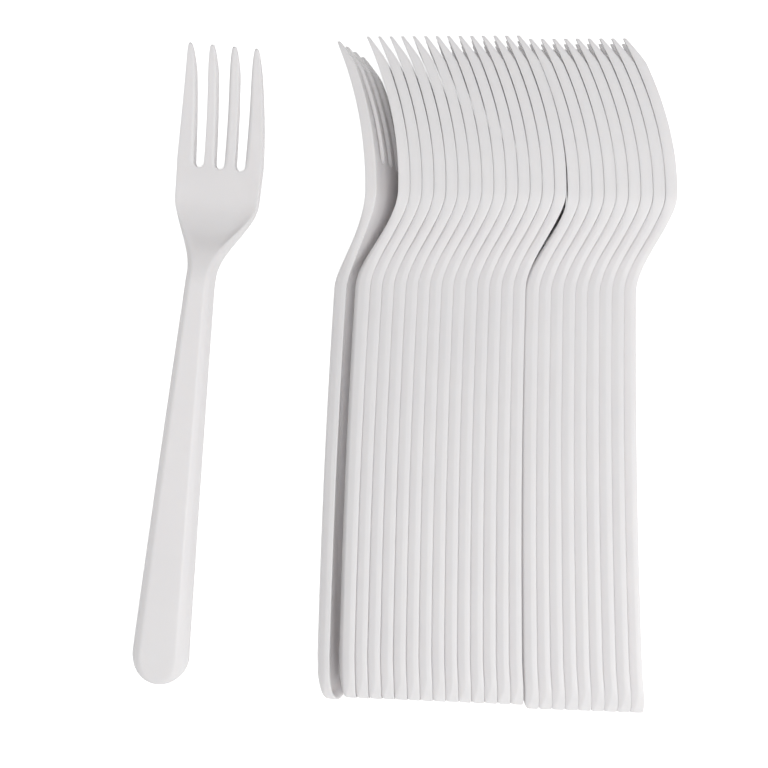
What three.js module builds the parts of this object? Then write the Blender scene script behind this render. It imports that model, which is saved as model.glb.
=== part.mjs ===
// A pack of white plastic forks: one fork lying by itself, front up, and a nested stack lying on
// its side. Every fork is the same moulding: a channel-section handle, a neck that drops to a
// shallow bowl, and four tines that rise back to the height of the handle.
// Millimetres, +Z up. The pack lies on the plane z = 0.
import * as THREE from "three";
import { mergeVertices } from "three/addons/utils/BufferGeometryUtils.js";

// Lengths along one fork, from the end of the handle to the tips.
const HANDLE_LENGTH = 113;
const NECK_LENGTH = 25.2;
const NECK_STRAIGHT = 3.7;
const CHANNEL_IN_NECK = 15;
const PALM_LENGTH = 10.1;
const TINE_LENGTH = 31.7;

// Outline of one fork, seen from the front.
const HANDLE_END_WIDTH = 16.4;
const NECK_WIDTH = 8.4;
const HEAD_WIDTH = 24.7;
const TIP_SPAN = 20.2;
const TINE_SIDE_CURVE = 1.5;
const SLOT_WIDTH = 3;
const TINE_BASE_WIDTH = 3;
const TINE_END_WIDTH = 2.5;
const TINE_TIP_WIDTH = 0.6;
const TINE_PITCH = 6.3;
const POINT_LENGTH = 9;

// Profile of one fork, seen from the side. Heights are of the front face.
const BOWL_DEPTH = 11.3;
const TIP_RISE = 10.6;
const HANDLE_BOW = 0.9;
const END_DROP = 0.9;
const END_DROP_LENGTH = 14;

// Wall and edge sizes of one fork.
const EDGE_THICKNESS = 3.03;
const RIM_OVERLAP = 1.15;
const RIM_FADE_LENGTH = 20;
const TINE_THINNING = 0.6;
const TIP_THICKNESS = 0.8;
const TIP_TAPER_LENGTH = 6.5;
const WEB_THICKNESS = 1.8;
const HOLLOW_WALL = 1.4;
const RIM_WALL = 1.5;
const RIM_INSET = 0.4;
const RIM_LAND = 1.4;
const SHOULDER = 2.8;
const SHOULDER_FADE_LENGTH = 13;
const END_SHOULDER_LENGTH = 1.9;
const END_SHOULDER_DEPTH = 0.85;

// How the forks lie. Angles are in degrees.
const STACK_COUNT = 24;
const NEST_GAP = 0.07;
const STACK_YAW = -1.3;
const FAN_STEP = 0.125;
const SLIPPED_FROM = 16;
const SLIP = 0.95;
const SLIP_GAP = 0.2;
const SLIP_YAW = 0.15;
const LEAN = 13.2;
const LEAN_YAW = -0.9;
const LEAN_GAP = 0.45;
const LEAN_SLIP = 0.8;
const LOOSE_YAW = -5.7;
const SPREAD_WIDTH = 40.5;
const LOOSE_SET_BACK = 1.1;

const FORK_LENGTH = HANDLE_LENGTH + NECK_LENGTH + PALM_LENGTH + TINE_LENGTH;
const BOWL_AT = HANDLE_LENGTH + NECK_LENGTH;
const TINE_BASE_AT = BOWL_AT + PALM_LENGTH;
const CHANNEL_LENGTH = HANDLE_LENGTH + CHANNEL_IN_NECK;
const END_RADIUS = HANDLE_END_WIDTH / 2;
const NEST_PITCH = EDGE_THICKNESS + NEST_GAP;
const FIRST_UPRIGHT = 2;
const SETTLING_ROUNDS = 8;
const MERGE_DISTANCE = 1e-4;

const { lerp, smoothstep, clamp, degToRad } = THREE.MathUtils;
const span = (value, from, to) => clamp((value - from) / (to - from), 0, 1);

// Half the outline's width at a distance along the fork. The side of the palm is straight, in line
// with the side of the handle's end, so that a fork on edge lies on it.
function halfWidth(along) {
  const palmSlope = (HEAD_WIDTH / 2 - END_RADIUS) / (TINE_BASE_AT - END_RADIUS);
  const palmSide = (at) => END_RADIUS + palmSlope * (at - END_RADIUS);
  if (along <= HANDLE_LENGTH) {
    return lerp(END_RADIUS, NECK_WIDTH / 2, span(along, END_RADIUS, HANDLE_LENGTH));
  }
  if (along <= BOWL_AT) {
    const flare = smoothstep(along, HANDLE_LENGTH + NECK_STRAIGHT, BOWL_AT);
    return lerp(NECK_WIDTH / 2, palmSide(BOWL_AT), flare);
  }
  if (along <= TINE_BASE_AT) return palmSide(along);
  return lerp(HEAD_WIDTH / 2, TIP_SPAN / 2, span(along, TINE_BASE_AT, FORK_LENGTH) ** TINE_SIDE_CURVE);
}

// Height of the front face: a slight bow from end to bowl, a drop through the neck and rising tines.
function frontHeight(along) {
  const bow = HANDLE_BOW * Math.sin(Math.PI * span(along, 0, BOWL_AT));
  const end = -END_DROP * (1 - span(along, 0, END_DROP_LENGTH)) ** 2;
  const neck = -BOWL_DEPTH * smoothstep(along, HANDLE_LENGTH, BOWL_AT);
  const tines = TIP_RISE * span(along, BOWL_AT, FORK_LENGTH) ** 2;
  return bow + end + neck + tines;
}

// Depth of the edge behind the front face: the rim of the handle, the plate of the head, the tines
// and their thin tips. The rim reaches over the next fork of a stack, but not round its end.
function edgeDepth(along) {
  const fadeFrom = CHANNEL_LENGTH - RIM_FADE_LENGTH;
  const taperFrom = FORK_LENGTH - TIP_TAPER_LENGTH;
  const rim = lerp(NEST_PITCH, EDGE_THICKNESS + RIM_OVERLAP, smoothstep(along, 0, END_DROP_LENGTH));
  const plate = lerp(rim, EDGE_THICKNESS, smoothstep(along, fadeFrom, CHANNEL_LENGTH));
  const tine = plate - TINE_THINNING * span(along, TINE_BASE_AT, taperFrom);
  return lerp(tine, TIP_THICKNESS, span(along, taperFrom, FORK_LENGTH));
}

// How far the sloping shoulder sets the front face in from the outline. It runs out at the bowl.
function shoulder(along) {
  return SHOULDER * (1 - smoothstep(along, BOWL_AT - SHOULDER_FADE_LENGTH, BOWL_AT));
}

// Depth of the shoulder's foot, where the upright rim begins. It is shallow round the end.
function flankDepth(along) {
  return lerp(END_SHOULDER_DEPTH, edgeDepth(along) - RIM_WALL, span(along, 0, END_RADIUS));
}

const point = (across, along, depth) => new THREE.Vector3(across, along, frontHeight(along) - depth);

// Triangles between two chains of points that run the same way.
function zip(a, b) {
  const triangles = [];
  let i = 0;
  let j = 0;
  while (i < a.length - 1 || j < b.length - 1) {
    const aIsBehind = (i + 1) * (b.length - 1) <= (j + 1) * (a.length - 1);
    const stepA = j === b.length - 1 || (i < a.length - 1 && aIsBehind);
    const corner = stepA ? a[i + 1] : b[j + 1];
    if (!a[i].equals(b[j])) triangles.push([a[i], b[j], corner]);
    if (stepA) i += 1;
    else j += 1;
  }
  return triangles;
}

const mirror = (p) => new THREE.Vector3(-p.x, p.y, p.z);
const turnedOver = (triangles) => triangles.map(([p, q, r]) => [p, r, q]);
const mirrored = (triangles) => turnedOver(triangles).map((corners) => corners.map(mirror));
const withMirror = (triangles) => [...triangles, ...mirrored(triangles)];
const acrossFrom = (chain) => zip(chain.map(mirror), chain);

// The right half of a chain round the handle, from the middle of its end into the neck.
const CHANNEL_STATIONS = [
  ...[0.53, 0.95].map((share) => share * HANDLE_LENGTH),
  ...[0.08, 0.4, 0.7, 1].map((share) => HANDLE_LENGTH + share * CHANNEL_IN_NECK),
];
const END_STEPS = 4;
function handleChain(inset, endInset, depth) {
  const chain = [];
  for (let step = 0; step <= END_STEPS; step += 1) {
    const angle = (step / END_STEPS) * 0.5 * Math.PI;
    const along = END_RADIUS - (END_RADIUS - endInset) * Math.cos(angle);
    chain.push(point((END_RADIUS - inset(END_RADIUS)) * Math.sin(angle), along, depth(along)));
  }
  for (const along of [END_DROP_LENGTH, ...CHANNEL_STATIONS]) {
    chain.push(point(halfWidth(along) - inset(along), along, depth(along)));
  }
  return chain;
}

// The handle: a flat top, sloping shoulders down to an upright rim, and a hollow back that runs out
// in the neck.
const none = () => 0;
const hollowDepth = (along) =>
  lerp(WEB_THICKNESS, edgeDepth(along), span(along, HANDLE_LENGTH, CHANNEL_LENGTH));
const hollowInset = RIM_LAND + HOLLOW_WALL;
const HANDLE = {
  top: handleChain(shoulder, END_SHOULDER_LENGTH, none),
  flank: handleChain(() => RIM_INSET, RIM_INSET, flankDepth),
  rim: handleChain(none, 0, edgeDepth),
  land: handleChain(() => RIM_LAND, RIM_LAND, edgeDepth),
  web: handleChain(() => hollowInset, hollowInset, hollowDepth),
};
function handle() {
  const { top, flank, rim, land, web } = HANDLE;
  const side = [...zip(top, flank), ...zip(flank, rim), ...zip(rim, land), ...zip(land, web)];
  return [...withMirror(side), ...acrossFrom(top), ...turnedOver(acrossFrom(web))];
}

// The edges of a tine right of the middle, inner (0) or outer (1), at a distance along the fork.
function tineEdges(tine, along) {
  const share = span(along, TINE_BASE_AT, FORK_LENGTH);
  const pitch = lerp(TINE_BASE_WIDTH + SLOT_WIDTH, TINE_PITCH, share);
  const taper = span(along, FORK_LENGTH - POINT_LENGTH, FORK_LENGTH);
  const full = lerp(TINE_BASE_WIDTH, TINE_END_WIDTH, share);
  const width = lerp(TINE_TIP_WIDTH, full, Math.sqrt(1 - taper ** 2));
  const inner = [0.5 * (pitch - width), 0.5 * (pitch + width)];
  if (tine === 0) return inner;
  return [2 * pitch - inner[1], halfWidth(along)];
}

// The round bottom of a slot between two edges, from its left to its right.
const SLOT_STEPS = 4;
function slotBottom(left, right, depth) {
  const radius = 0.5 * (right - left);
  const steps = Array.from({ length: SLOT_STEPS - 1 }, (_, step) => step + 1);
  return steps.map((step) => {
    const angle = (step / SLOT_STEPS) * Math.PI;
    const along = TINE_BASE_AT - radius * Math.sin(angle);
    return point(left + radius - radius * Math.cos(angle), along, depth(along));
  });
}

// The head: neck, palm and tines, with the same outline at the front and at the back.
const NECK_STATIONS = [1 / 3, 2 / 3, 1].map((share) => lerp(CHANNEL_LENGTH, BOWL_AT, share));
const TINE_STATIONS = [0, 0.31, 0.62, 0.83, 0.94, 1].map((share) => TINE_BASE_AT + share * TINE_LENGTH);
function headFace(inset, depth) {
  const neck = NECK_STATIONS.map((along) => point(halfWidth(along) - inset(along), along, depth(along)));
  const tineChain = (tine, side) =>
    TINE_STATIONS.map((along) => point(tineEdges(tine, along)[side], along, depth(along)));
  const inner = [tineChain(0, 0), tineChain(0, 1)];
  const outer = [tineChain(1, 0), tineChain(1, 1)];
  const middleSlot = slotBottom(-inner[0][0].x, inner[0][0].x, depth).slice(SLOT_STEPS / 2 - 1);
  const outerSlot = slotBottom(inner[1][0].x, outer[0][0].x, depth);
  const down = (chain) => [...chain].reverse();
  const innerTine = [...inner[0], ...down(inner[1])];
  const outerTine = [...outer[0], ...down(outer[1])];
  const outline = [...middleSlot, ...innerTine, ...outerSlot, ...outerTine, ...down(neck)];
  const palmRight = [...middleSlot, inner[0][0], inner[1][0], ...outerSlot, outer[0][0], outer[1][0]];
  const palmTop = [...down(palmRight.slice(1)).map(mirror), ...palmRight];
  const palm = zip(palmTop, [mirror(neck.at(-1)), neck.at(-1)]);
  const tines = withMirror([...zip(...inner), ...zip(...outer)]);
  return { neck, outline, triangles: [...acrossFrom(neck), ...palm, ...tines] };
}
function head() {
  const { top, flank, rim, land, web } = HANDLE;
  const front = headFace(shoulder, none);
  const back = headFace(none, edgeDepth);

  // The first step past the channel, where the handle's section ends.
  const section = [rim, land, web].map((chain) => chain.at(-1));
  const underside = zip([...section.map(mirror), ...section.reverse()], [mirror(back.neck[0]), back.neck[0]]);
  const side = zip([front.neck[0], back.neck[0]], [top.at(-1), flank.at(-1), rim.at(-1)]);
  const over = acrossFrom([top.at(-1), front.neck[0]]);

  const walls = zip(back.outline, front.outline);
  const faces = [...front.triangles, ...turnedOver(back.triangles)];
  return [...withMirror([...side, ...walls]), ...underside, ...over, ...faces];
}

function makeFork() {
  const geometry = new THREE.BufferGeometry().setFromPoints([...handle(), ...head()].flat());
  const fork = mergeVertices(geometry, MERGE_DISTANCE);
  fork.computeVertexNormals();
  return fork;
}

const forkGeometry = makeFork();
const tips = point(0, FORK_LENGTH, 0);

// The angle about X at which a rolled fork rests on the table: its lowest points at the head and at
// the end of the handle are then level.
function restingPitch(roll) {
  const rolled = forkGeometry.clone().rotateY(roll).getAttribute("position");
  const points = [];
  for (let i = 0; i < rolled.count; i += 1) points.push(new THREE.Vector3().fromBufferAttribute(rolled, i));
  const middle = FORK_LENGTH / 2;
  let pitch = 0;
  for (let round = 0; round < SETTLING_ROUNDS; round += 1) {
    const height = (p) => p.y * Math.sin(pitch) + p.z * Math.cos(pitch);
    const lower = (p, q) => (height(p) < height(q) ? p : q);
    const handleFoot = points.filter((p) => p.y < middle).reduce(lower);
    const headFoot = points.filter((p) => p.y >= middle).reduce(lower);
    pitch = -Math.atan2(headFoot.z - handleFoot.z, headFoot.y - handleFoot.y);
  }
  return pitch;
}

// A fork on the table, rolled about its length, with one of its points at the place given.
function layFork(name, roll, yaw, anchor, x, y) {
  const plastic = new THREE.MeshStandardMaterial({ color: 0xe9e9ea, roughness: 0.35, metalness: 0 });
  const fork = new THREE.Mesh(forkGeometry, plastic);
  fork.name = name;
  fork.rotation.set(restingPitch(roll), roll, yaw, "ZXY");
  const turned = anchor.clone().applyEuler(fork.rotation);
  fork.position.set(x - turned.x, y - turned.y, 0);
  fork.position.z = -new THREE.Box3().setFromObject(fork, true).min.z;
  fork.updateMatrixWorld(true);
  return fork;
}

// The stack lies on its side, fronts to the left. Its right part has slipped back a little.
function layStack() {
  const forkName = (number) => `stacked_fork_${String(number).padStart(2, "0")}`;
  const stack = [];
  for (let number = FIRST_UPRIGHT; number <= STACK_COUNT; number += 1) {
    const place = number - FIRST_UPRIGHT;
    const slipped = number >= SLIPPED_FROM ? 1 : 0;
    const yaw = degToRad(STACK_YAW + FAN_STEP * place + SLIP_YAW * slipped);
    const x = NEST_PITCH * place + SLIP_GAP * slipped;
    stack.push(layFork(forkName(number), degToRad(-90), yaw, tips, x, -SLIP * slipped));
  }

  // The first fork leans away, with the lower side of its head close to the next fork.
  const side = -halfWidth(TINE_BASE_AT);
  const touch = stack[0].localToWorld(point(side, TINE_BASE_AT, 0));
  const back = point(side, TINE_BASE_AT, EDGE_THICKNESS);
  const roll = degToRad(-90 - LEAN);
  const x = touch.x - LEAN_GAP;
  return [layFork(forkName(1), roll, degToRad(LEAN_YAW), back, x, touch.y - LEAN_SLIP), ...stack];
}

function makePack() {
  const loose = layFork("loose_fork", 0, degToRad(LOOSE_YAW), tips, -SPREAD_WIDTH, -LOOSE_SET_BACK);
  const pack = new THREE.Group().add(loose, ...layStack());
  const centre = new THREE.Box3().setFromObject(pack, true).getCenter(new THREE.Vector3());
  for (const fork of pack.children) {
    fork.position.x -= centre.x;
    fork.position.y -= centre.y;
  }
  return pack;
}

export default makePack();
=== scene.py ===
import math

import bmesh
import bpy
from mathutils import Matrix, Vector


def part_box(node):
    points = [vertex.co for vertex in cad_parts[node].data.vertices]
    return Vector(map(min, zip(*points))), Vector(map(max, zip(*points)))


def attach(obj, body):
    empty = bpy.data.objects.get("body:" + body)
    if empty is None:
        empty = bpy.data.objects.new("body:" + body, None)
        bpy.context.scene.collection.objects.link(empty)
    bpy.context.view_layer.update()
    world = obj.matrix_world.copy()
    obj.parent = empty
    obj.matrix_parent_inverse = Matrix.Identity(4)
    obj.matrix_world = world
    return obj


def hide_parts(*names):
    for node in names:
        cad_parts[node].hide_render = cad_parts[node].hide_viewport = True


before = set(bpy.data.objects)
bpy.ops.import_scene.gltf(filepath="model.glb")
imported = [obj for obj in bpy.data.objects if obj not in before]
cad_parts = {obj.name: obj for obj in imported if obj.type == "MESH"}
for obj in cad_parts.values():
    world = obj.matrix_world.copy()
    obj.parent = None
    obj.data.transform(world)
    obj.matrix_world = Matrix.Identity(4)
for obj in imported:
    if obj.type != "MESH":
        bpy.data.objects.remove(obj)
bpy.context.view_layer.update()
bpy.ops.object.select_all(action="DESELECT")

# The fork
# One injection moulding of white polystyrene: a hollow-backed handle with sloping shoulders, a neck
# that drops to a shallow bowl, and four tines. All 25 forks come from it. Sizes are in millimetres.

# Along the fork, from the end of the handle.
handle_length = 113
neck_length = 25.2
neck_straight = 3.7
channel_in_neck = 20
palm_length = 10.1
tine_length = 31.7
bowl_at = handle_length + neck_length
tine_base_at = bowl_at + palm_length
fork_length = tine_base_at + tine_length
channel_length = handle_length + channel_in_neck

# Across the fork.
end_radius = 8.2
neck_half = 4.2
head_half = 12.35
tip_half = 10.1
head_curve = 1.5
slot_width = 3
tine_base_width = 3
tine_end_width = 2.5
tine_tip_width = 0.6
tine_pitch = 6.3
point_length = 9
tip_rounding = 0.45
tip_rounding_length = 2.4

# Seen from the side.
bowl_depth = 11.3
tip_rise = 10.6
handle_bow = 0.9
end_drop = 1.2
end_drop_length = 14
dish_depth = 1.4
dish_from = 123
dish_at = 128.5
dish_flatness = 6

# The edge behind the front face, which reaches over the next fork of a stack. The stack fans open by
# a part of a degree from fork to fork.
nest_pitch = 3.1
nest_gap = 0.05
fan_step = 0.125
fan_slope = math.radians(fan_step)
rim_depth = 4.36
end_rim_depth = 3.53
rim_fade_length = 18
tine_thinning = 0.25
tip_thickness = 0.8
tip_taper_length = 6.5

# The hollow back of the handle.
web_thickness = 1.8
hollow_wall = 2.1
rim_land = 0.7

# The shoulder between the front face and the upright rim. Its ridge lies at a share of its width and
# of its depth.
shoulder_width = 2.9
ridge_share = (0.36, 0.37)
neck_narrowing = 0.66
shoulder_fade_length = 15.5
rim_wall = 1.45
rim_inset = 0.05
end_shoulder_length = 0.9
end_shoulder_depth = 0.6

# How far the corners of the sections are softened. On the thin tines it is a share of their size.
front_softening = 0.5
ridge_softening = 0.35
edge_softening = 0.16
end_front_softening = 1.2
end_edge_softening = 0.35
land_softening = 0.2
floor_softening = 0.7
thin_width_share = 0.3
thin_depth_share = 0.35
side_share = 0.45
corner_points = 4
land_points = 3
face_reach = 10


def mix(start, finish, share):
    return start + (finish - start) * share


def span(value, start, finish):
    return min(max((value - start) / (finish - start), 0), 1)


def ease(value, start, finish):
    share = span(value, start, finish)
    return share * share * (3 - 2 * share)


# Half the width of the outline at a distance along the fork.
def half_width(along):
    palm_slope = (head_half - end_radius) / (tine_base_at - end_radius)
    if along <= handle_length:
        return mix(end_radius, neck_half, span(along, end_radius, handle_length))
    if along <= bowl_at:
        palm_start = end_radius + palm_slope * (bowl_at - end_radius)
        return mix(neck_half, palm_start, ease(along, handle_length + neck_straight, bowl_at))
    if along <= tine_base_at:
        return end_radius + palm_slope * (along - end_radius)
    return mix(head_half, tip_half, span(along, tine_base_at, fork_length) ** head_curve)


# Height of the front face, seen from the side.
def front_height(along):
    bow = handle_bow * math.sin(math.pi * span(along, 0, bowl_at))
    end = -end_drop * (1 - span(along, 0, end_drop_length)) ** 2
    neck = -bowl_depth * ease(along, handle_length, bowl_at)
    return bow + end + neck + tip_rise * span(along, bowl_at, fork_length) ** 2


# How far the bowl is dished below its edges. It is deepest in the crease where the neck comes down.
def dish(along):
    falling = ease(along, dish_from, dish_at)
    rising = ease(along, dish_at, tine_base_at - slot_width)
    return dish_depth * (falling - rising)


# Depth of the edge behind the front face: rim, plate, tines and their thin tips. The rim gets deeper
# as the stack fans open and is short round the end of the handle. The plate comes close to the next
# fork's front.
def edge_depth(along):
    taper_from = fork_length - tip_taper_length
    close = nest_pitch - nest_gap + fan_slope * (fork_length - along)
    side = rim_depth + fan_slope * max(handle_length - along, 0)
    rim = mix(side, end_rim_depth, (1 - span(along, 0, end_radius)) ** 2)
    plate = mix(rim, close, ease(along, channel_length - rim_fade_length, channel_length))
    tine = plate - tine_thinning * span(along, tine_base_at, taper_from)
    return mix(tine, tip_thickness, span(along, taper_from, fork_length))


# The points of a softened corner, from one side of it to the other.
def soft_corner(before, corner, after, reach, count):
    sides = []
    for other in (before, after):
        length = math.hypot(other[0] - corner[0], other[1] - corner[1])
        share = min(reach / length, side_share)
        sides.append((mix(corner[0], other[0], share), mix(corner[1], other[1], share)))
    corners = (sides[0], corner, sides[1])
    points = []
    for step in range(count):
        t = step / (count - 1)
        weights = ((1 - t) ** 2, 2 * t * (1 - t), t * t)
        points.append(tuple(sum(w * c[axis] for w, c in zip(weights, corners)) for axis in (0, 1)))
    return points


# The section of the edge as (inset, depth) points: front face, a shoulder of two slopes that meet at
# a ridge, upright rim, back. On the head the shoulder fades into a plain, upright edge.
def edge_section(shoulder, flank_depth, depth, plain, front_reach, edge_reach):
    top = (shoulder, 0)
    ridge = (ridge_share[0] * shoulder, mix(ridge_share[1] * flank_depth, depth / 3, plain))
    flank = (rim_inset * (1 - plain), mix(flank_depth, 2 * depth / 3, plain))
    rim = (0, depth)
    front = soft_corner((shoulder + face_reach, 0), top, ridge, front_reach, corner_points)
    middle = soft_corner(top, ridge, flank, ridge_softening, corner_points)
    foot = soft_corner(ridge, flank, rim, ridge_softening, corner_points)
    back = soft_corner(flank, rim, (face_reach, depth), edge_reach, corner_points)
    return front + middle + foot + back


# The section of the hollow back as (inset, depth) points: the land of the rim, the sloping wall of
# the hollow, and the edge of its floor.
def hollow_section(depth, floor, narrow):
    land = (rim_land * narrow, depth)
    foot = (rim_land * narrow + hollow_wall, floor)
    land_edge = soft_corner((0, depth), land, foot, land_softening, land_points)
    floor_edge = soft_corner(land, foot, (face_reach, floor), floor_softening, corner_points)
    return land_edge + floor_edge


# The four edges of the two tines on one side of the middle. Each tine narrows to a rounded point.
def tine_edges(along):
    share = span(along, tine_base_at, fork_length)
    pitch = mix(tine_base_width + slot_width, tine_pitch, share)
    taper = span(along, fork_length - point_length, fork_length)
    full = mix(tine_base_width, tine_end_width, share)
    width = mix(tine_tip_width, full, math.sqrt(1 - taper * taper))
    inner = (0.5 * (pitch - width), 0.5 * (pitch + width))
    turned = span(along, fork_length - tip_rounding_length, fork_length)
    outer_edge = half_width(along) - tip_rounding * (1 - math.sqrt(1 - turned * turned))
    return inner + (2 * pitch - inner[1], outer_edge)


# Half a fork is drawn on a flat blank of squares. Each row of squares has its place along the fork;
# the first rows fan round the end of the handle. The palm's rows are counted from the bowl, and those
# of the points from the tips.
fan_rows = 12
handle_rows = 22
neck_rows = 16
palm_rows = (2.4, 4.8, 6.8, 8.2)
tine_rows = 9
point_rows = (7, 5.2, 3.7, 2.5, 1.6, 0.95, 0.45, 0.12, 0)
point_at = fork_length - point_length
alongs = [end_radius] * (fan_rows + 1)
alongs += [mix(end_radius, handle_length, step / handle_rows) for step in range(1, handle_rows + 1)]
alongs += [mix(handle_length, bowl_at, step / neck_rows) for step in range(1, neck_rows + 1)]
alongs += [bowl_at + past for past in palm_rows]
slot_row = len(alongs)
alongs += [mix(tine_base_at, point_at, step / tine_rows) for step in range(tine_rows + 1)]
alongs += [fork_length - left for left in point_rows]
rows = len(alongs) - 1

# The columns run from the middle of the fork to its side. These are the ones where the inner tine, the
# outer slot and the outer tine begin. The loops run down the edge, one from each point of its section.
columns = 16
inner_tine = 3
outer_slot = 6
outer_tine = 12
half_slot = 0.5 * (outer_tine - outer_slot)
loops = 4 * corner_points - 1


# Where a column lies across the head, with the slots and tines kept in step.
def head_column(column, edges, inset):
    if column <= inner_tine:
        return edges[0] * math.sin(0.5 * math.pi * column / inner_tine)
    if column <= outer_slot:
        share = (column - inner_tine) / (outer_slot - inner_tine)
        return mix(edges[0] + inset, edges[1] - inset, share)
    if column <= outer_tine:
        turn = 0.5 * math.pi * ((column - outer_slot) / half_slot - 1)
        return mix(edges[1], edges[2], 0.5 + 0.5 * math.sin(turn))
    share = (column - outer_tine) / (columns - outer_tine)
    return mix(edges[2] + inset, edges[3] - inset, share)


# The place of a corner of the blank on the finished fork: across, along and up.
def formed(row, column, loop):
    along = alongs[row]
    turn = 0.5 * math.pi * min(row / fan_rows, 1)
    half = half_width(along)
    depth = edge_depth(along - half * math.cos(turn))
    solid = ease(along, channel_length, bowl_at)
    plain = ease(along, bowl_at - shoulder_fade_length, bowl_at)
    narrow = mix(1, neck_narrowing, span(along, end_radius, handle_length))
    shoulder = shoulder_width * narrow * (1 - plain)
    edges = tine_edges(along)
    thin_reach = min(thin_width_share * (edges[1] - edges[0]), thin_depth_share * depth)
    edge_reach = min(edge_softening, thin_reach)
    front_reach = mix(front_softening, edge_reach, plain)
    section = edge_section(shoulder, depth - rim_wall, depth, plain, front_reach, edge_reach)
    end_section = edge_section(
        end_shoulder_length, end_shoulder_depth, depth, plain, end_front_softening, end_edge_softening
    )
    inset, drop = section[loop]
    end_inset = end_section[loop][0]
    drop = mix(end_section[loop][1], drop, math.sin(turn) ** 2)

    if row >= slot_row:
        across = head_column(column, edges, inset)
        in_outer_slot = outer_slot < column < outer_tine
        if row == slot_row and (column < inner_tine or in_outer_slot):
            centre = 0
            radius = edges[0]
            swing = 0.5 * math.pi * column / inner_tine
            if in_outer_slot:
                centre = 0.5 * (edges[1] + edges[2])
                radius = 0.5 * (edges[2] - edges[1])
                swing = 0.5 * math.pi * ((column - outer_slot) / half_slot - 1)
            across = centre + (radius + inset) * math.sin(swing)
            along -= (radius + inset) * math.cos(swing)
        if row == rows:
            along -= inset
        return across, along, front_height(along) - drop

    head_share = head_column(column, tine_edges(tine_base_at), 0) / head_half
    share = mix(column / columns, head_share, solid)
    reach = share * (half - inset)
    end_reach = share * (half - end_inset)
    if loop == loops and column < columns:
        floor = mix(web_thickness, depth, span(along, handle_length, channel_length))
        hollow = hollow_section(depth, floor, narrow)
        edge_column = columns - len(hollow)
        if column >= edge_column:
            hollow_inset, hollow_depth = hollow[columns - 1 - column]
            hollow_reach = half - hollow_inset
        else:
            hollow_depth = floor
            hollow_reach = column / edge_column * (half - hollow[-1][0])
        reach = mix(hollow_reach, head_share * half, solid)
        end_reach = reach
        drop = mix(hollow_depth, depth, solid)
    if loop == 0:
        drop += dish(along) * (1 - share ** dish_flatness)
    across = reach * math.sin(turn)
    along -= end_reach * math.cos(turn)
    return across, along, front_height(along) - drop


millimetre = 0.001
weld_distance = 1e-6
bpy.ops.mesh.primitive_grid_add(x_subdivisions=columns, y_subdivisions=rows, size=1)
fork = bpy.context.object
fork.name = "fork_loose"
fork.data.name = "fork_loose"
fork.scale = (millimetre * head_half, millimetre * fork_length, 1)
fork.location = (0.5 * millimetre * head_half, 0.5 * millimetre * fork_length, 0)
bpy.ops.object.transform_apply(location=True, rotation=False, scale=True)
column_width = millimetre * head_half / columns
row_length = millimetre * fork_length / rows
blank_thickness = millimetre * nest_pitch

# The slots are cut out of the blank.
bpy.ops.object.mode_set(mode="EDIT")
bpy.ops.mesh.select_mode(type="FACE")
bpy.ops.mesh.select_all(action="DESELECT")
blank = bmesh.from_edit_mesh(fork.data)
for face in blank.faces:
    centre = face.calc_center_median()
    column = centre.x / column_width
    in_slot = column < inner_tine or outer_slot < column < outer_tine
    face.select = in_slot and centre.y > slot_row * row_length
bmesh.update_edit_mesh(fork.data)
bpy.ops.mesh.delete(type="FACE")

# The blank gets its thickness, and is opened where its two halves will meet: down the first column,
# and along the first row, which is the middle of the handle's end.
side_margin = 0.1
bpy.ops.mesh.select_all(action="SELECT")
bpy.ops.mesh.extrude_region_move(TRANSFORM_OT_translate={"value": (0, 0, -blank_thickness)})
bpy.ops.mesh.select_all(action="DESELECT")
blank = bmesh.from_edit_mesh(fork.data)
for face in blank.faces:
    centre = face.calc_center_median()
    on_first_column = centre.x < side_margin * column_width
    face.select = on_first_column or centre.y < side_margin * row_length
bmesh.update_edit_mesh(fork.data)
bpy.ops.mesh.delete(type="ONLY_FACE")

# The edge is cut into loops for the shoulder, the rim and their softened corners.
bpy.ops.mesh.select_mode(type="EDGE")
bpy.ops.mesh.select_all(action="DESELECT")
blank = bmesh.from_edit_mesh(fork.data)
for edge in blank.edges:
    edge.select = abs(edge.verts[0].co.z - edge.verts[1].co.z) > 0.5 * blank_thickness
bmesh.update_edit_mesh(fork.data)
bpy.ops.mesh.subdivide(number_cuts=loops - 1)

# The blank is pressed to the shape of the fork, corner by corner, and its other half is mirrored.
bpy.ops.object.mode_set(mode="OBJECT")
for corner in fork.data.vertices:
    row = round(corner.co.y / row_length)
    column = round(corner.co.x / column_width)
    loop = round(-corner.co.z / blank_thickness * loops)
    corner.co = [millimetre * size for size in formed(row, column, loop)]
halves = fork.modifiers.new("halves", "MIRROR")
halves.merge_threshold = weld_distance
bpy.ops.object.modifier_apply(modifier=halves.name)
bpy.ops.object.mode_set(mode="EDIT")
bpy.ops.mesh.select_all(action="SELECT")
bpy.ops.mesh.remove_doubles(threshold=weld_distance)
bpy.ops.mesh.delete_loose()
bpy.ops.mesh.select_all(action="SELECT")
bpy.ops.mesh.normals_make_consistent(inside=False)
bpy.ops.object.mode_set(mode="OBJECT")
bpy.ops.object.shade_smooth()

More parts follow.
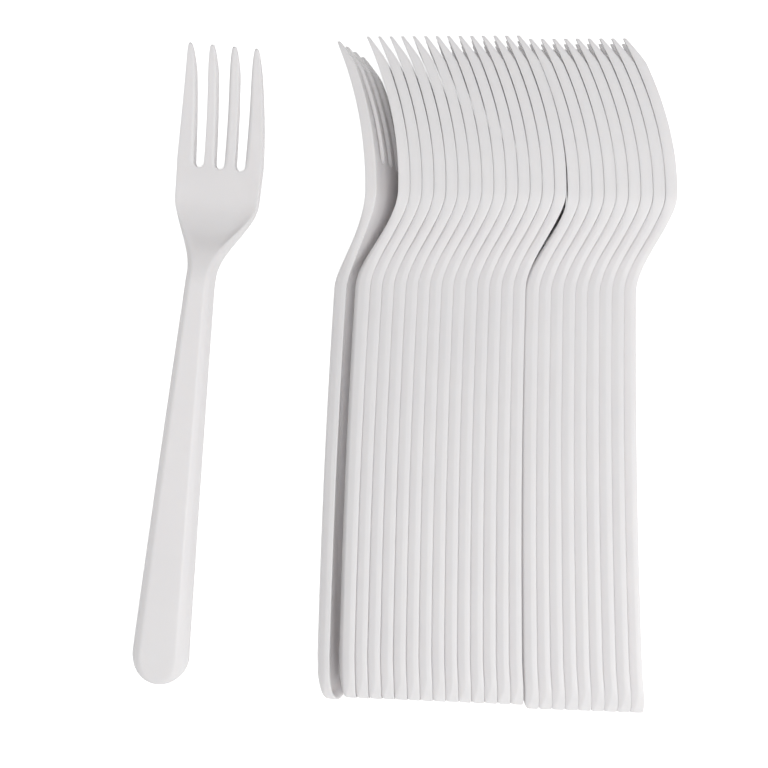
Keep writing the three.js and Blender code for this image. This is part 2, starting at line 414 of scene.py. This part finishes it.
# White polystyrene with a soft gloss: faint cloudiness in the colour, a gloss that varies a little,
# and the fine skin that the polished mould leaves.
plastic = bpy.data.materials.new("white_plastic")
plastic.use_nodes = True
nodes = plastic.node_tree.nodes
links = plastic.node_tree.links
skin = nodes["Principled BSDF"]
skin.inputs["IOR"].default_value = 1.5
skin.inputs["Subsurface Weight"].default_value = 0.45
skin.inputs["Subsurface Radius"].default_value = (1, 0.95, 0.9)
skin.inputs["Subsurface Scale"].default_value = 0.002
place = nodes.new("ShaderNodeTexCoord")
cloud = nodes.new("ShaderNodeTexNoise")
cloud.inputs["Scale"].default_value = 60
cloud.inputs["Detail"].default_value = 3
links.new(place.outputs["Object"], cloud.inputs["Vector"])
tint = nodes.new("ShaderNodeValToRGB")
tint.color_ramp.elements[0].position = 0.3
tint.color_ramp.elements[0].color = (0.87, 0.851, 0.857, 1)
tint.color_ramp.elements[1].position = 0.7
tint.color_ramp.elements[1].color = (0.89, 0.871, 0.874, 1)
links.new(cloud.outputs["Fac"], tint.inputs["Fac"])
links.new(tint.outputs["Color"], skin.inputs["Base Color"])
gloss = nodes.new("ShaderNodeMapRange")
gloss.inputs["To Min"].default_value = 0.42
gloss.inputs["To Max"].default_value = 0.54
links.new(cloud.outputs["Fac"], gloss.inputs["Value"])
links.new(gloss.outputs["Result"], skin.inputs["Roughness"])
grain = nodes.new("ShaderNodeTexNoise")
grain.inputs["Scale"].default_value = 2500
grain.inputs["Detail"].default_value = 2
links.new(place.outputs["Object"], grain.inputs["Vector"])
relief = nodes.new("ShaderNodeBump")
relief.inputs["Strength"].default_value = 0.05
relief.inputs["Distance"].default_value = 0.0001
links.new(grain.outputs["Fac"], relief.inputs["Height"])
links.new(relief.outputs["Normal"], skin.inputs["Normal"])
fork.data.materials.append(plastic)


# A fork is turned about its length, tipped until it rests on the table, swung round and put where
# the solid of the same fork lies. The angles are in degrees.
def lay_fork(piece, node, roll, pitch, yaw):
    bpy.ops.object.select_all(action="DESELECT")
    piece.select_set(True)
    bpy.context.view_layer.objects.active = piece
    piece.rotation_mode = "YXZ"
    piece.rotation_euler = (math.radians(pitch), math.radians(roll), math.radians(yaw))
    bpy.ops.object.transform_apply(location=False, rotation=True, scale=False)
    solid_low, solid_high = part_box(node)
    corners = [corner.co for corner in piece.data.vertices]
    low = [min(corner[axis] for corner in corners) for axis in range(3)]
    high = [max(corner[axis] for corner in corners) for axis in range(3)]
    piece.location = (
        0.5 * (solid_low.x + solid_high.x - low[0] - high[0]),
        0.5 * (solid_low.y + solid_high.y - low[1] - high[1]),
        solid_low.z - low[2],
    )
    bpy.ops.object.transform_apply(location=True, rotation=False, scale=False)
    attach(piece, "root")
    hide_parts(node)


def copy_fork(name):
    bpy.ops.object.select_all(action="DESELECT")
    fork.select_set(True)
    bpy.context.view_layer.objects.active = fork
    bpy.ops.object.duplicate()
    copy = bpy.context.object
    copy.name = name
    copy.data.name = name
    return copy


# The stack
# Twenty-four forks nested front to back and laid on their sides, loose on the table. The first leans
# away from the others, the fan opens a little towards the handles, and the right part has slipped.
stack_count = 24
first_roll = -103.2
first_pitch = 1.006
first_yaw = -0.9
side_roll = -90
side_pitch = 1.697
stack_yaw = -1.3
slip_yaw = 0.15
slipped_from = 16
first = copy_fork("fork_stack_01")
lay_fork(first, "stacked_fork_01", first_roll, first_pitch, first_yaw)
for number in range(2, stack_count + 1):
    stacked = copy_fork(f"fork_stack_{number:02d}")
    yaw = stack_yaw + fan_step * (number - 2) + slip_yaw * (number >= slipped_from)
    lay_fork(stacked, f"stacked_fork_{number:02d}", side_roll, side_pitch, yaw)

# The loose fork
# The same moulding, lying by itself on the table with its front up.
loose_roll = 0
loose_pitch = 4.275
loose_yaw = -5.7
lay_fork(fork, "loose_fork", loose_roll, loose_pitch, loose_yaw)

# The table
# A plain white sheet under the forks, with no edge in view.
table_size = 8
table_gap = 0.0002
bpy.ops.object.select_all(action="DESELECT")
bpy.ops.mesh.primitive_plane_add(size=table_size, location=(0, 0, -table_gap))
table = bpy.context.object
table.name = "table"
white = bpy.data.materials.new("table_white")
white.use_nodes = True
nodes = white.node_tree.nodes
links = white.node_tree.links
nodes.clear()
output = nodes.new("ShaderNodeOutputMaterial")
paths = nodes.new("ShaderNodeLightPath")
seen = nodes.new("ShaderNodeMath")
seen.operation = "MAXIMUM"
links.new(paths.outputs["Is Camera Ray"], seen.inputs[0])
links.new(paths.outputs["Is Glossy Ray"], seen.inputs[1])
seen_through = nodes.new("ShaderNodeMath")
seen_through.operation = "MAXIMUM"
links.new(seen.outputs["Value"], seen_through.inputs[0])
links.new(paths.outputs["Is Transmission Ray"], seen_through.inputs[1])
matt = nodes.new("ShaderNodeBsdfDiffuse")
matt.inputs["Color"].default_value = (0.88, 0.88, 0.88, 1)
glow = nodes.new("ShaderNodeEmission")
glow.inputs["Color"].default_value = (1, 1, 1, 1)
glow.inputs["Strength"].default_value = 0.72
shown = nodes.new("ShaderNodeAddShader")
links.new(matt.outputs["BSDF"], shown.inputs[0])
links.new(glow.outputs["Emission"], shown.inputs[1])
surface = nodes.new("ShaderNodeMixShader")
links.new(seen_through.outputs["Value"], surface.inputs["Fac"])
links.new(matt.outputs["BSDF"], surface.inputs[1])
links.new(shown.outputs["Shader"], surface.inputs[2])
links.new(surface.outputs["Shader"], output.inputs["Surface"])
table.data.materials.append(white)

# The light
# A white room with a soft lamp above the forks, beside the camera, and a weaker one on the right.
world = bpy.context.scene.world or bpy.data.worlds.new("room")
bpy.context.scene.world = world
world.use_nodes = True
nodes = world.node_tree.nodes
links = world.node_tree.links
nodes.clear()
output = nodes.new("ShaderNodeOutputWorld")
room = nodes.new("ShaderNodeBackground")
room.inputs["Color"].default_value = (1, 1, 1, 1)
room.inputs["Strength"].default_value = 0.475
backdrop = nodes.new("ShaderNodeBackground")
backdrop.inputs["Color"].default_value = (1, 1, 1, 1)
backdrop.inputs["Strength"].default_value = 1
paths = nodes.new("ShaderNodeLightPath")
both = nodes.new("ShaderNodeMixShader")
links.new(paths.outputs["Is Camera Ray"], both.inputs["Fac"])
links.new(room.outputs["Background"], both.inputs[1])
links.new(backdrop.outputs["Background"], both.inputs[2])
links.new(both.outputs["Shader"], output.inputs["Surface"])

lamps = (
    ("key_lamp", (0.19, -0.2, 0.56), 0.3, 1.72),
    ("side_lamp", (0.8, -0.18, 0.35), 0.5, 0.4),
)
for name, location, size, energy in lamps:
    bpy.ops.object.light_add(type="AREA", location=location)
    lamp = bpy.context.object
    lamp.name = name
    lamp.data.shape = "SQUARE"
    lamp.data.size = size
    lamp.data.energy = energy
    lamp.rotation_euler = (-lamp.location).to_track_quat("-Z", "Y").to_euler()
    lamp.visible_camera = False

# The camera
# Almost straight above the forks, a little to the right of the middle.
bpy.ops.object.camera_add(location=(0.0429, -0.0176, 0.4256), rotation=(0.037, 0.110, 0.023))
camera = bpy.context.object
camera.data.lens = 71.2
camera.data.sensor_width = 36
camera.data.clip_start = 0.01
bpy.context.scene.camera = camera
bpy.context.scene.view_settings.view_transform = "Standard"
